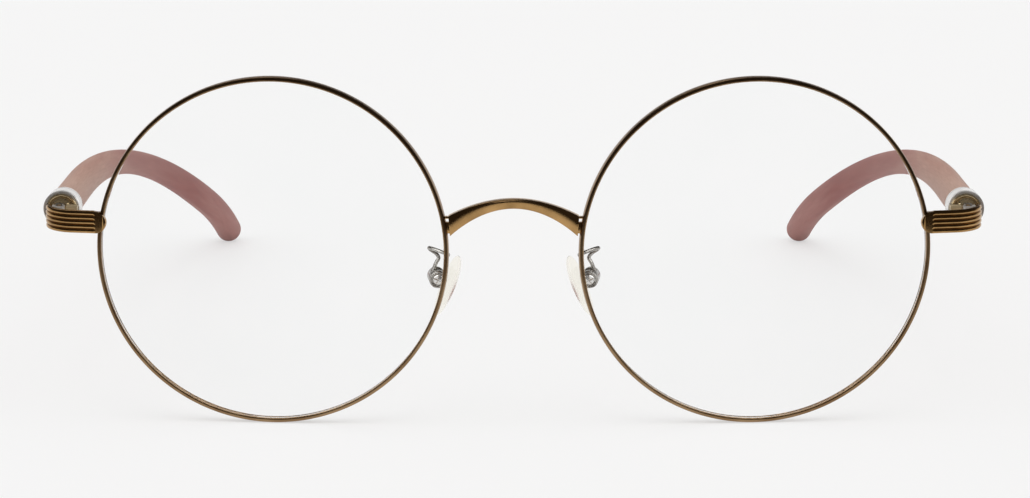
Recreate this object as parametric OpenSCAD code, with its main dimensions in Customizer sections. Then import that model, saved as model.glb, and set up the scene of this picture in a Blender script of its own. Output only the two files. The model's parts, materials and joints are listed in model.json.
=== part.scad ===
// Round metal eyeglasses with ribbed end pieces, soft nose pads and round wooden temples.
// Millimetres. +Z is up, +X is the wearer's left, the front faces -Y and the temples run back along +Y.
// The frame stands on a table, on the bottoms of both rims and on both temple tips. The origin lies on
// the table, under the middle of the object.
//
// Most pieces are drawn in the front's own frame: y = 0 at the front of the rims over the lens centres,
// z = 0 at the height of the lens centres. Pieces are drawn on the wearer's left and mirrored.

/* [Lenses] */
// Diameter of each lens over its bevelled edge
lens_d = 51.3; // [46:0.1:56]
// Clear distance between the two lenses
lens_gap = 19.7; // [18:0.1:24]
// Thickness of a lens
lens_thickness = 1.2; // [0.9:0.05:1.4]
// Radius of a lens's curved faces
lens_curve_r = 130; // [90:5:300]
// Angle that the outer side of each lens is turned back
wrap_angle = 4.2; // [2:0.2:6]

/* [Rims] */
// Thickness of the rim wire, across the lens
rim_wall = 0.7; // [0.5:0.05:0.8]
// Depth of the rim wire, from front to back
rim_depth = 1.8; // [1.6:0.05:2]
// Depth of the lens groove
groove_depth = 0.38; // [0.2:0.02:0.4]
// Width of the lens groove at its mouth
groove_w = 0.9; // [0.7:0.05:1.1]
// Play of the lens bevel in the groove
lens_play = 0.03; // [0.02:0.01:0.05]

/* [Bridge] */
// Height of the bridge's underside in the middle, above the lens centres
bridge_under_h = 6.9; // [6:0.1:8]
// Thickness of the bridge in the middle
bridge_mid_t = 1.4; // [1:0.05:1.8]
// Thickness of the bridge at each end
bridge_end_t = 3; // [2:0.1:3.4]
// Drop of the bridge's middle line, from the middle to each end
bridge_drop = 3.45; // [2.6:0.05:3.8]
// Depth of the bridge, from front to back
bridge_depth = 1.9; // [1.5:0.05:2.2]
// How far the middle of the bridge stands forward of its ends
bridge_bow = 0.6; // [0:0.1:1.2]
// Height of the ridge along the bridge's front face
bridge_ridge = 0.25; // [0.1:0.05:0.4]
// Gap between each end of the bridge bar and the rim, spanned by the solder stubs
bridge_end_gap = 0.4; // [0.3:0.05:0.6]
// Height of the lower stub at each end of the bridge
stub_h = 1.65; // [1.2:0.05:1.9]
// Thickness of the thin upper stub at each end of the bridge
stub_thin = 0.3; // [0.2:0.05:0.4]

/* [End pieces] */
// Height of the end pieces' middle, above the lens centres
end_h = 4.05; // [3:0.1:5]
// Height of an end piece
end_piece_h = 3.36; // [3:0.02:3.8]
// Number of ribs on an end piece
rib_count = 5; // [3:1:7]
// Depth of the grooves between the ribs
rib_depth = 0.26; // [0.1:0.02:0.34]
// How far an end piece's outer face falls away towards its top and bottom edges
end_crown = 0.06; // [0.04:0.01:0.12]
// Thickness of an end piece where it crosses the rim
end_front_t = 0.8; // [0.6:0.05:0.85]
// Thickness of an end piece at the hinge
end_back_t = 1; // [0.9:0.05:1.1]
// Distance from the rim's outer side to the outer face of the end piece
end_reach = 8.15; // [7.8:0.05:9]
// Radius of the corner, where the end piece turns back
end_corner_r = 5; // [4.5:0.1:5.2]
// Angle at which the end piece leaves the rim
end_sweep = 9; // [6:1:11]
// Width of the collar round the inner end of an end piece
collar_w = 0.3; // [0.2:0.05:0.4]
// Length of the smooth border between the collar and the ribs
border_l = 1.3; // [1:0.1:1.6]
// How far the inner end of an end piece reaches in past the rim's inner edge
collar_reach = 0.45; // [0.3:0.05:0.8]

/* [Rim locks] */
// Width of a rim lock block
lock_w = 2; // [1.8:0.1:2.2]
// Height of the two rim lock blocks together
lock_h = 2.5; // [2.3:0.05:2.9]
// Depth of a rim lock block, from front to back
lock_depth = 1.2; // [1.1:0.05:1.25]
// Gap between the two blocks of a rim lock
lock_slit = 0.3; // [0.2:0.05:0.5]
// Diameter of the rim screw's shank
rim_screw_d = 0.6; // [0.5:0.05:0.65]
// Diameter of the rim screw's head
rim_screw_head_d = 0.96; // [0.8:0.02:1]
// Height of the rim screw's head
rim_screw_head_h = 0.45; // [0.3:0.05:0.6]

/* [Hinges] */
// Distance from an end piece's outer face in to the hinge's axis
pin_inset = 2.14; // [2.12:0.01:2.4]
// Distance of the hinge's axis behind the front of the rims
pin_back = 6; // [5.9:0.05:6.4]
// Diameter of the hinge knuckles
knuckle_d = 1.5; // [1.35:0.05:1.5]
// Height of the whole hinge
hinge_h = 3.2; // [2.9:0.1:3.3]
// Height of the middle knuckle
mid_knuckle_h = 1.3; // [1:0.1:1.6]
// Gap between two knuckles
knuckle_gap = 0.06; // [0.03:0.01:0.1]
// Diameter of the hinge screw's shank
hinge_screw_d = 0.9; // [0.7:0.05:1]
// Diameter of the hinge screw's head
hinge_screw_head_d = 1.3; // [1.1:0.05:1.35]
// Height of the hinge screw's head above the top knuckle
hinge_screw_head_h = 0.25; // [0.15:0.05:0.4]
// Radial play of the hinge screw in the middle knuckle
hinge_play = 0.03; // [0.01:0.01:0.06]
// Thickness of the hinge leaf
leaf_t = 0.25; // [0.2:0.01:0.25]

/* [Ferrules] */
// Outer diameter of the ferrule
ferrule_d = 5.45; // [5.3:0.05:5.8]
// Length of the ferrule
ferrule_l = 3.6; // [3.2:0.1:5]
// Wall of the ferrule
ferrule_wall = 0.45; // [0.4:0.05:0.5]
// Distance from the hinge's axis back to the front of the ferrule
ferrule_back = 1.6; // [1.55:0.05:2]
// Height of the ferrule's axis above the middle of the hinge
ferrule_rise = 0.7; // [0.5:0.05:1]
// Thickness of the insert that closes the ferrule
insert_t = 1.5; // [1.2:0.1:2]
// Depth of the insert's hollowed face
insert_dish = 0.35; // [0.1:0.05:0.5]
// Diameter of the core inside the wood
core_d = 1.8; // [1.4:0.1:2.2]
// Length of the core behind the insert
core_l = 15; // [8:1:20]

/* [Temples] */
// Angle of the temple below the front's square line
temple_pitch = 1.7; // [1:0.1:4]
// Angle of the temple inwards at the hinge
temple_yaw = 2.35; // [0:0.05:4]
// Length of the straight part of a temple, from the front of its ferrule
straight_l = 19.5; // [17:0.5:40]
// Radius of the temple's long bend
bend_r = 240; // [200:1:300]
// Angle of the temple's long bend
bend_angle = 24.8; // [18:0.2:27]
// Direction of the long bend, from straight down towards the head
bend_turn = 23.2; // [0:0.2:40]
// Radius of the bend at the temple's tip
tip_bend_r = 134; // [80:1:200]
// Angle of the bend at the temple's tip
tip_bend_angle = 7.9; // [4:0.1:14]
// Direction of the tip's bend, from straight down towards the head
tip_bend_turn = -46; // [-60:1:20]
// Diameter of the wood behind the ferrule
wood_head_d = 4.75; // [4.5:0.05:4.9]
// Diameter of the wood at the start of the long bend
wood_neck_d = 4.6; // [4.2:0.05:5]
// Diameter of the wood at its slimmest, in the middle
wood_waist_d = 3.9; // [3.4:0.05:4.4]
// Diameter of the wood at the start of the tip
wood_tip_d = 4.45; // [3.9:0.05:5]
// Diameter of the wood at its rounded end
wood_end_d = 4.36; // [3.8:0.02:4.8]

/* [Nose pads] */
// Distance of the pad box's axis from the middle of the frame
pad_x = 11.35; // [11:0.1:12.4]
// Distance of the pad box's middle behind the front of the rims
pad_y = 4.5; // [4.2:0.1:5.5]
// Height of the pad box's axis below the lens centres
pad_drop = 4.9; // [3.5:0.1:5.5]
// Lean of the pads, with their tops towards the nose
pad_lean = 22; // [18:0.5:30]
// Splay of the pads, with their back edges away from the nose
pad_splay = 9; // [5:1:20]
// Length of a nose pad
pad_l = 9.6; // [9:0.1:13]
// Width of a nose pad
pad_w = 6.2; // [5.5:0.1:7.5]
// Thickness of a nose pad
pad_t = 1.4; // [1.3:0.05:2.6]
// How far the pad's centre lies below the pad box
pad_hang = 0.7; // [0:0.1:1.6]
// Diameter of the pad arm's wire
arm_d = 0.56; // [0.45:0.01:0.6]
// Depth that the wire goes into the pad box
arm_seat = 0.4; // [0.3:0.05:0.45]
// Diameter of the pad box
box_d = 2.65; // [2.6:0.05:3]
// Length of the pad box along its screw
box_l = 2.5; // [2.3:0.1:2.8]
// Width of the slot in the pad box
box_slot_w = 1.24; // [1.2:0.02:1.3]
// Thickness of the back wall of the pad box
box_web = 0.6; // [0.55:0.05:0.65]
// Diameter of the pad screw's shank
pad_screw_d = 0.8; // [0.6:0.05:0.9]
// Diameter of the pad screw's head
pad_screw_head_d = 1.5; // [1.2:0.05:1.8]
// Height of the pad screw's head
pad_screw_head_h = 0.35; // [0.2:0.05:0.5]
// Thickness of the lug that goes into the pad box
lug_t = 1.1; // [1:0.02:1.14]
// Diameter of the lug's round end
lug_d = 1.4; // [1.25:0.05:1.4]
// Gap between the pad box and the pad
pad_gap = 0.15; // [0.15:0.05:0.4]
// Length of the plate inside the pad
plate_l = 5.2; // [4:0.1:6]
// Width of the plate inside the pad
plate_w = 2.8; // [2:0.1:3.2]
// Thickness of the plate inside the pad
plate_t = 0.6; // [0.4:0.05:0.7]

/* [Hidden] */
// Play between parts that are brazed, screwed or pushed together
fit = 0.02;
// Width of the slots in the screw heads
screw_slot_w = 0.2;
// Facets of round solids
$fn = 96;
// Facets of swept and lofted solids
wire_sides = 10;
wood_sides = 24;
pad_sides = 28;
// Rings along swept solids
straight_rings = 4;
bend_rings = 22;
tip_rings = 6;
cap_rings = 5;
bridge_steps = 20;
corner_steps = 9;
arm_steps = 4;
rib_points = 4;
border_steps = 4;
lens_steps = 12;

// Rims and lenses
lens_r = lens_d / 2;
rim_in_r = lens_r + lens_play - groove_depth;
rim_out_r = rim_in_r + rim_wall;
lens_x = (lens_d + lens_gap) / 2;
rim_edge = 0.2;
rim_lip = 0.08;
bevel_mouth = groove_w - 0.2;
bevel_tip = 0.1;
groove_floor_w = 0.24;

// A point on a rim, r from the lens's axis and h above it, on the nose side (-1) or the outer side (1),
// at a depth behind the rim's front face
function rim_across(r, h) = sqrt(r * r - h * h);
function rim_point(r, h, outward, depth) = [
    lens_x + outward * rim_across(r, h) * cos(wrap_angle) - depth * sin(wrap_angle),
    outward * rim_across(r, h) * sin(wrap_angle) + depth * cos(wrap_angle),
    h
];

// Bridge. Its cuts lean a little from upright towards square, by a share of its slope.
bridge_cut = 0.1;
bridge_edge = 0.15;
bridge_half = rim_point(rim_out_r, end_h, -1, 0)[0] - bridge_end_gap;
bridge_end_y = rim_point(rim_out_r, end_h, -1, rim_depth / 2)[1];
stub_depth = rim_depth / 2;

// End piece, as seen from above: from the inner end straight out, round the corner and back
end_half = end_piece_h / 2;
rim_outside = rim_point(rim_out_r, end_h, 1, 0);
rim_inside = rim_point(rim_in_r, end_h, 1, 0);
end_x0 = rim_inside[0] - collar_reach;
end_gap_y = 0.05;
collar_lip = 0.1;
collar_step = 0.06;
rib_rise = 0.4;
end_y0 = rim_inside[1] - end_gap_y - end_front_t;
end_x1 = rim_outside[0] + end_reach;
corner_x = end_x1 - end_corner_r;
corner_start_x = corner_x + end_corner_r * sin(end_sweep);
corner_start_y = end_y0 + (corner_start_x - end_x0) * tan(end_sweep);
corner_y = corner_start_y + end_corner_r * cos(end_sweep);
end_step_x = rim_outside[0] + 0.35;

// Hinge
pin_x = end_x1 - pin_inset;
pin_y = pin_back;
knuckle_r = knuckle_d / 2;
outer_knuckle_h = (hinge_h - mid_knuckle_h) / 2 - knuckle_gap;
end_y1 = max(pin_y + knuckle_r, corner_y + 0.05);
leaf_x = end_x1 - end_back_t - fit;

// Rim lock, behind the end piece and outside the rim
lock_x0 = rim_point(rim_out_r, end_h + end_half, 1, rim_depth)[0];
lock_x1 = rim_outside[0] + lock_w;
lock_y0 = max(rim_outside[1], end_y0 + (lock_x1 - end_x0) * tan(end_sweep) + end_front_t) + 0.1;
lock_y1 = lock_y0 + lock_depth;
lock_screw = [(rim_outside[0] + lock_x1) / 2 + 0.05, (lock_y0 + lock_y1) / 2, end_h];

// Temple, in its own frame: z runs back along the temple, x points down and y points to the head
function turn_z(a) = [[cos(a), -sin(a), 0], [sin(a), cos(a), 0], [0, 0, 1]];
function turn_y(a) = [[cos(a), 0, sin(a)], [0, 1, 0], [-sin(a), 0, cos(a)]];
function turn_x(a) = [[1, 0, 0], [0, cos(a), -sin(a)], [0, sin(a), cos(a)]];
function bent(turn, a) = turn_z(turn) * turn_y(a) * turn_z(-turn);
function arc_end(r, turn, a) = turn_z(turn) * [r * (1 - cos(a)), 0, r * sin(a)];

ferrule_r = ferrule_d / 2;
ferrule_in_r = ferrule_r - ferrule_wall;
ferrule_front = [pin_x - 0.08, pin_y + ferrule_back, end_h + ferrule_rise];
tenon_r = ferrule_in_r - fit;
tenon_front = insert_t + fit;
core_let_in = 0.5;
dish_in_r = core_d / 2 + 0.2;
dish_border = 0.25;
shoulder = 0.15;
bend_end = [0, 0, straight_l] + arc_end(bend_r, bend_turn, bend_angle);
bend_frame = bent(bend_turn, bend_angle);
tip_centre = bend_end + bend_frame * arc_end(tip_bend_r, tip_bend_turn, tip_bend_angle);
tip_frame = bend_frame * bent(tip_bend_turn, tip_bend_angle);
tip_r = wood_end_d / 2;

// The temple's frame as a matrix in the front's frame: down is -Z, to the head is -X, back is +Y
temple_axes = [[0, -1, 0], [0, 0, 1], [-1, 0, 0]];
temple_turn = turn_z(temple_yaw) * turn_x(-temple_pitch);
tip_at = ferrule_front + temple_turn * temple_axes * tip_centre;

// The front leans forward until the rims and the temple tips stand on one plane
tip_over_rim = tip_at[2] + rim_out_r;
tip_reach = norm([tip_at[1], tip_over_rim]);
front_lean = asin(tip_r / tip_reach) - atan2(tip_over_rim, tip_at[1]);
front_lift = rim_out_r * cos(front_lean);
bridge_front = rim_point(rim_out_r, end_h, -1, 0)[1] - bridge_bow - bridge_ridge;
front_y = bridge_front * cos(front_lean) - bridge_under_h * sin(front_lean);
back_y = tip_at[1] * cos(front_lean) - tip_at[2] * sin(front_lean) + tip_r;
depth_mid = (front_y + back_y) / 2;

// Nose pads, in the pad box's frame: y along its screw, -x towards the nose, z up
pad_pivot = [pad_x, pad_y, -pad_drop];
box_r = box_d / 2;
web_x = box_r - box_web;
pad_back_x = -(box_r + pad_gap);
plate_x = pad_back_x - 0.25;
seat_at = [box_r - box_web / 2 - 0.05, 0, 1];
pad_turn = turn_y(-pad_lean) * turn_z(-pad_splay);
seat_mouth = pad_pivot + pad_turn * seat_at;
arm_r = arm_d / 2;
arm_root_h = -0.65;
arm_root = rim_point((rim_in_r + rim_out_r) / 2, arm_root_h, -1, rim_depth + 2 * fit);
arm_down = pad_turn * [0, 0, -1];
arm_path = [
    arm_root,
    arm_root + [-sin(wrap_angle), cos(wrap_angle), 0],
    arm_root + [0.75, 2, 0.1],
    arm_root + [1.9, 2.7, 0.38],
    arm_root + [2.72, 3.6, 0.42],
    arm_root + [2.6, 4.35, 0],
    arm_root + [1.65, 4.7, -0.7],
    arm_root + [1.2, 4.75, -1.4],
    seat_mouth - arm_down * 1.1,
    seat_mouth - arm_down * 0.2,
    seat_mouth + arm_down * (arm_seat - fit)
];

// Stands the front's frame on the table, with the origin under the middle of the object
module on_table() {
    translate([0, -depth_mid, front_lift]) rotate([front_lean, 0, 0]) children();
}

// Draws a left-hand piece on its own side, or mirrored
module on_side(side) {
    on_table() {
        if (side == "left") children();
        else mirror([1, 0, 0]) children();
    }
}

// Frame of a rim: z runs back along the lens's axis
module rim_place() {
    translate([lens_x, 0, 0]) rotate([0, 0, wrap_angle]) rotate([-90, 0, 0]) children();
}

// Frame of a temple: z runs back along its straight part
module temple_place() {
    translate(ferrule_front)
        rotate([0, 0, temple_yaw]) rotate([-temple_pitch, 0, 0]) rotate([-90, 0, 0]) rotate([0, 0, 90])
            children();
}

// Frame of a nose pad's box: y runs along its screw
module pad_place() {
    translate(pad_pivot) rotate([0, -pad_lean, 0]) rotate([0, 0, -pad_splay]) children();
}

// A cylinder along y
module y_cylinder(r, y0, y1) {
    translate([0, y1, 0]) rotate([90, 0, 0]) cylinder(r = r, h = y1 - y0);
}

// A closed skin over rings of points, which run anticlockwise seen from the last ring
module skin(rings) {
    n = len(rings);
    m = len(rings[0]);
    points = [for (ring = rings) each ring];
    sides = [
        for (i = [0:n - 2], k = [0:m - 1])
            let (next = (k + 1) % m, low = i * m, high = low + m)
                each [[low + k, high + k, high + next], [low + k, high + next, low + next]]
    ];
    first = [for (k = [0:m - 1]) k];
    last = [for (k = [m - 1:-1:0]) (n - 1) * m + k];
    polyhedron(points = points, faces = concat([first, last], sides), convexity = 8);
}

// Points of a circle of radius r round a centre, in the plane of a frame's x and y
function ring(centre, frame, r, sides) = [
    for (k = [0:sides - 1])
        let (a = 360 * k / sides) centre + frame * [r * cos(a), r * sin(a), 0]
];

// A vector of length 1
function unit(v) = v / norm(v);

// A point at t from 0 to 1 on the smooth curve from b to c that passes a, b, c and d
function smooth(a, b, c, d, t) =
    0.5 * (2 * b + (c - a) * t + (2 * a - 5 * b + 4 * c - d) * t * t + (3 * b - a - 3 * c + d) * t * t * t);

// The smooth curve through a path's points
function smooth_path(p, steps) = let (n = len(p)) [
    for (i = [0:n - 2], s = [0:steps - 1])
        smooth(p[max(i - 1, 0)], p[i], p[i + 1], p[min(i + 2, n - 1)], s / steps),
    p[n - 1]
];

// The x axis of the next frame along a path: the last one, leaned to stay square to the path
function carried(x, z) = unit(x - (x * z) * z);
function carried_all(x, tangents, i = 0) =
    i == len(tangents)
        ? []
        : let (now = carried(x, tangents[i])) concat([now], carried_all(now, tangents, i + 1));

// A round wire along a path's points
module wire(path, r, sides) {
    n = len(path);
    tangents = [for (i = [0:n - 1]) unit(path[min(i + 1, n - 1)] - path[max(i - 1, 0)])];
    xs = carried_all([0, 0, 1], tangents);
    skin([
        for (i = [0:n - 1])
            let (x = xs[i], y = cross(tangents[i], x))
                [for (k = [0:sides - 1]) let (a = 360 * k / sides) path[i] + r * (cos(a) * x + sin(a) * y)]
    ]);
}

// Rim wire with a lens groove, split at the rim lock
module rim(side) {
    mid = rim_depth / 2;
    color("saddlebrown") on_side(side) difference() {
        rim_place() rotate_extrude() polygon([
            [rim_in_r + rim_lip, 0],
            [rim_out_r - rim_edge, 0],
            [rim_out_r - rim_edge / 4, rim_edge / 2],
            [rim_out_r, rim_edge * 1.5],
            [rim_out_r, rim_depth - rim_edge * 1.5],
            [rim_out_r - rim_edge / 4, rim_depth - rim_edge / 2],
            [rim_out_r - rim_edge, rim_depth],
            [rim_in_r + rim_lip, rim_depth],
            [rim_in_r, rim_depth - rim_lip],
            [rim_in_r, mid + groove_w / 2],
            [rim_in_r + groove_depth, mid + groove_floor_w / 2],
            [rim_in_r + groove_depth, mid - groove_floor_w / 2],
            [rim_in_r, mid - groove_w / 2],
            [rim_in_r, rim_lip]
        ]);
        translate([rim_inside[0] - rim_wall, 0, end_h - lock_slit / 2])
            cube([2 * lock_w, 2 * pin_back, lock_slit]);
    }
}

// Clear lens, hollow side to the eye, with a bevelled edge that runs in the rim's groove
module lens(side) {
    mid = rim_depth / 2;
    face_r = rim_in_r - fit;
    half = lens_thickness / 2;
    function height(r) = sqrt(lens_curve_r * lens_curve_r - r * r);
    function rise(r) = height(r) - height(face_r);
    color([0.9, 0.95, 0.97, 0.35]) on_side(side) rim_place() rotate_extrude() polygon(concat(
        [for (i = [0:lens_steps]) let (r = face_r * i / lens_steps) [r, mid - half - rise(r)]],
        [
            [face_r, mid - bevel_mouth / 2],
            [lens_r, mid - bevel_tip / 2],
            [lens_r, mid + bevel_tip / 2],
            [face_r, mid + bevel_mouth / 2]
        ],
        [for (i = [lens_steps:-1:0]) let (r = face_r * i / lens_steps) [r, mid + half - rise(r)]]
    ));
}

// Arched bridge bar. Its front has a ridge that rises from mid height at the ends to the top edge.
function bridge_line(u) = [
    u * bridge_half,
    bridge_end_y - bridge_bow * (1 - u * u),
    bridge_under_h + bridge_mid_t / 2 - bridge_drop * u * u
];
function bridge_section(u) =
    let (
        centre = bridge_line(u),
        slope = -2 * bridge_drop * u / bridge_half,
        up = unit([-bridge_cut * slope, 0, 1]),
        half_t = (bridge_mid_t + (bridge_end_t - bridge_mid_t) * u * u) / 2,
        half_d = bridge_depth / 2,
        ridge_v = half_t * (0.75 - 0.75 * pow(abs(u), 3)),
        edge = bridge_edge
    )
        [
            for (p = [
                [-half_d, -half_t + edge],
                [-half_d + edge, -half_t],
                [half_d - edge, -half_t],
                [half_d, -half_t + edge],
                [half_d, half_t - edge],
                [half_d - edge, half_t],
                [-half_d + edge, half_t],
                [-half_d, half_t - edge],
                [-half_d - bridge_ridge, ridge_v]
            ])
                centre + [0, p[0], 0] + p[1] * up
        ];

// Upright block from inside the bridge's left end out to the rim
module bridge_stub(low, height) {
    difference() {
        translate([bridge_half - bridge_end_gap, bridge_end_y - stub_depth / 2, low])
            cube([lens_x - bridge_half, stub_depth, height]);
        rim_place() translate([0, 0, -rim_depth]) cylinder(r = rim_out_r + fit, h = 4 * rim_depth);
    }
}

module bridge() {
    low = bridge_line(1)[2] - bridge_end_t / 2 + bridge_edge;
    high = bridge_line(1)[2] + bridge_end_t / 2 - 1.5 * stub_thin;
    color("peru") on_table() union() {
        skin([for (i = [-bridge_steps:bridge_steps]) bridge_section(i / bridge_steps)]);
        for (flip = [0, 1]) mirror([flip, 0, 0]) {
            bridge_stub(low, stub_h);
            bridge_stub(high, stub_thin);
        }
    }
}

// Ribbed end piece. At each station along its outer face, e is the distance from the inner end.
function end_height(e) = e < end_half ? sqrt(end_half * end_half - pow(end_half - e, 2)) : end_half;
function rib_share(e) = min(1, max(0, (e - collar_w - border_l) / rib_rise));
function end_thickness(e) =
    let (x = end_x0 + e) x < end_step_x ? end_front_t - e * tan(end_sweep) : end_front_t;

// A section: its place and heading on the outer face, half height, thickness, lip and share of the ribs
function end_section(at, heading, half, thickness, lip, ribs) =
    let (
        inward = [-sin(heading), cos(heading), 0],
        n = rib_count * rib_points,
        outer = [
            for (i = [n:-1:0])
                let (w = i / n, q = 2 * (w * rib_count - floor(min(w * rib_count, rib_count - 0.001))) - 1)
                    [
                        ribs * rib_depth * (1 - sqrt(1 - q * q)) + end_crown * pow(2 * w - 1, 2) - lip,
                        half * (2 * w - 1)
                    ]
        ]
    )
        [
            for (p = concat([[thickness, -half], [thickness, half]], outer))
                [at[0], at[1], end_h] + p[0] * inward + [0, 0, p[1]]
        ];
function end_point(e) = [end_x0 + e * cos(end_sweep), end_y0 + e * sin(end_sweep)];

module end_piece(side) {
    collar_stations = [for (share = [0.03, 0.25, 0.6, 1]) share * collar_w];
    body_stations = concat(
        [for (i = [0:border_steps]) collar_w + fit + (border_l - fit) * i / border_steps],
        [collar_w + border_l + rib_rise]
    );
    color("darkgoldenrod") on_side(side) skin(concat(
        [
            for (e = collar_stations)
                end_section(end_point(e), end_sweep, end_height(e), end_thickness(e), collar_lip, 0)
        ],
        [
            for (e = body_stations)
                let (half = end_height(e) - collar_step)
                    end_section(end_point(e), end_sweep, half, end_thickness(e), 0, rib_share(e))
        ],
        [
            for (i = [0:corner_steps])
                let (
                    turned = end_sweep + (90 - end_sweep) * i / corner_steps,
                    at = [corner_x + end_corner_r * sin(turned), corner_y - end_corner_r * cos(turned)],
                    thickness = max(end_front_t, end_corner_r - (end_corner_r - end_back_t) / sin(turned))
                )
                    end_section(at, turned, end_half, thickness, 0, 1)
        ],
        [end_section([end_x1, end_y1], 90, end_half, end_back_t, 0, 1)]
    ));
}

// Rim lock: two blocks, one on each end of the split rim, drawn together by the rim screw
module rim_lock(side) {
    half = (lock_h - lock_slit) / 2;
    color("sienna") on_side(side) difference() {
        for (low = [end_h - lock_h / 2, end_h + lock_slit / 2])
            translate([lock_x0, lock_y0, low]) cube([lock_x1 - lock_x0, lock_depth, half]);
        rim_place() translate([0, 0, -rim_depth]) cylinder(r = rim_out_r + fit, h = 4 * rim_depth);
        translate(lock_screw) cylinder(d = rim_screw_d + 2 * fit, h = 2 * lock_h, center = true);
        translate(lock_screw - [0, 0, lock_h])
            cylinder(d = rim_screw_head_d + 2 * fit, h = lock_h / 2 + rim_screw_head_h + fit);
    }
}

// Rim screw, with its head underneath
module rim_screw(side) {
    head_low = end_h - lock_h / 2;
    color("silver") on_side(side) translate([lock_screw[0], lock_screw[1], head_low]) difference() {
        union() {
            cylinder(d = rim_screw_head_d, h = rim_screw_head_h);
            cylinder(d = rim_screw_d, h = lock_h - fit);
        }
        translate([-rim_screw_head_d, -screw_slot_w / 2, -rim_screw_head_h / 2])
            cube([2 * rim_screw_head_d, screw_slot_w, rim_screw_head_h]);
    }
}

// Front hinge: a leaf brazed inside the end piece's back, with the two outer knuckles
module front_hinge(side) {
    low = end_h - hinge_h / 2;
    high = end_h + hinge_h / 2 - outer_knuckle_h;
    color("silver") on_side(side) difference() {
        union() {
            translate([leaf_x - leaf_t, pin_y - 0.6 * knuckle_r, low])
                cube([leaf_t, 1.4 * knuckle_r, hinge_h]);
            for (z = [low, high]) {
                translate([pin_x, pin_y, z]) cylinder(r = knuckle_r, h = outer_knuckle_h);
                translate([pin_x, pin_y - knuckle_r / 2, z])
                    cube([leaf_x - leaf_t / 2 - pin_x, knuckle_r, outer_knuckle_h]);
            }
        }
        translate([pin_x, pin_y, end_h - hinge_h]) cylinder(d = hinge_screw_d + 2 * fit, h = 2 * hinge_h);
    }
}

// Temple hinge: a block on the ferrule's insert, with the middle knuckle
module temple_hinge(side) {
    block_in = ferrule_in_r + 0.25;
    block_out = 0.85;
    block_up = 0.75;
    block_down = hinge_h - block_up - 0.6;
    block_l = 1.45;
    color("burlywood") on_side(side) difference() {
        union() {
            temple_place() translate([-block_up, block_out, -block_l])
                cube([block_up + block_down, block_in - block_out, block_l - fit]);
            translate([pin_x, pin_y, end_h - mid_knuckle_h / 2]) cylinder(r = knuckle_r, h = mid_knuckle_h);
            translate([pin_x - ferrule_in_r / 2, pin_y, end_h - mid_knuckle_h / 2])
                cube([ferrule_in_r / 2, knuckle_r, mid_knuckle_h]);
        }
        translate([pin_x, pin_y, end_h - hinge_h])
            cylinder(d = hinge_screw_d + 2 * hinge_play, h = 2 * hinge_h);
    }
}

// Hinge screw: the pin that the temple turns on
module hinge_screw(side) {
    top = end_h + hinge_h / 2;
    color("silver") on_side(side) translate([pin_x, pin_y, 0]) difference() {
        union() {
            translate([0, 0, end_h - hinge_h / 2]) cylinder(d = hinge_screw_d, h = hinge_h + fit);
            translate([0, 0, top + fit]) cylinder(d = hinge_screw_head_d, h = hinge_screw_head_h);
        }
        translate([-hinge_screw_head_d, -screw_slot_w / 2, top + fit + hinge_screw_head_h / 2])
            cube([2 * hinge_screw_head_d, screw_slot_w, hinge_screw_head_h]);
    }
}

// Ferrule: polished band round the head of the temple, with a rounded front lip
module ferrule(side) {
    lip = ferrule_wall * 0.6;
    color("gainsboro") on_side(side) temple_place() rotate_extrude() polygon([
        [ferrule_in_r, 0.1],
        [ferrule_in_r + 0.1, 0],
        [ferrule_r - lip, 0],
        [ferrule_r - lip / 3, lip / 3],
        [ferrule_r, lip],
        [ferrule_r, ferrule_l - lip],
        [ferrule_r - lip / 2, ferrule_l],
        [ferrule_in_r, ferrule_l]
    ]);
}

// Ferrule insert: the disc with a hollowed face that closes the ferrule and holds the core
module ferrule_insert(side) {
    r = ferrule_in_r - fit;
    color("goldenrod") on_side(side) temple_place() difference() {
        cylinder(r = r, h = insert_t);
        translate([0, 0, -insert_dish]) intersection() {
            rotate_extrude() polygon([
                [dish_in_r, 0], [r - dish_border, 0],
                [r - 2 * dish_border, 2 * insert_dish], [dish_in_r + dish_border, 2 * insert_dish]
            ]);
            translate([-ferrule_r, -ferrule_r, 0]) cube([ferrule_r - dish_in_r, 2 * ferrule_r, insert_t]);
        }
        translate([0, 0, insert_t - core_let_in]) cylinder(d = core_d + 2 * fit, h = insert_t);
    }
}

// Temple core: the stud inside the wood, let into the back of the insert
module temple_core(side) {
    color("silver") on_side(side) temple_place() translate([0, 0, insert_t - core_let_in + fit])
        cylinder(d = core_d, h = core_l);
}

// Wooden temple: a round shaft that bends down and in towards the head, with a rounded tip
function wood_radius(t) =
    t < 0.5 ? wood_neck_d / 2 + (wood_waist_d - wood_neck_d) / 2 * (0.5 - 0.5 * cos(360 * t))
            : wood_waist_d / 2 + (wood_tip_d - wood_waist_d) / 2 * (0.5 + 0.5 * cos(360 * t));

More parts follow.
